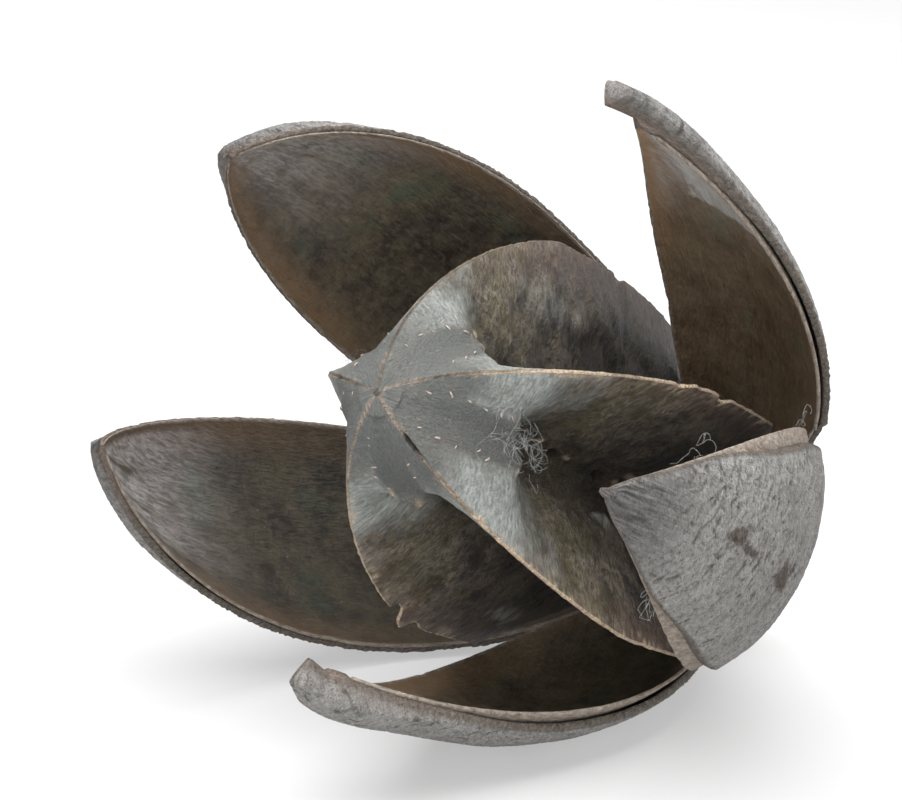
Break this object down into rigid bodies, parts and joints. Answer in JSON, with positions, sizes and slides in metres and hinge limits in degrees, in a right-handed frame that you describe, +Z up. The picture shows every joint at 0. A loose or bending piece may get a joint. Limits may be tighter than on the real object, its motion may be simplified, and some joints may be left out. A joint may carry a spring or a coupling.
{
  "type": "dried seed pod",
  "caption": "Dry woody seed capsule split open from its tip, with boat-shaped two-layered valves spread round a winged central column, lying on its side.",
  "frame": {"origin": "middle of the pod's bounding box, on the surface that it lies on", "axes": "+Z up from that surface; +Y along the pod's longest extent, away from the picture's camera; +X to the right in the picture"},
  "size_m": [0.0682, 0.084, 0.0654],
  "materials": {
    "shell": "matte, finely wrinkled grey bark-like skin",
    "lining": "satin dark olive brown, faint fibrous grain, tan rim",
    "columella": "satin blue-grey to dark brown, cream split ridge edges",
    "receptacle": "matte brown-grey, rough"
  },
  "bodies": {
    "root": {"base": "receptacle", "columella": "columella", "valve_1": "shell", "valve_2": "shell", "valve_3": "shell", "valve_4": "shell", "valve_5": "shell", "lining_1": "lining", "lining_2": "lining", "lining_3": "lining", "lining_4": "lining", "lining_5": "lining"}
  },
  "joints": []
}
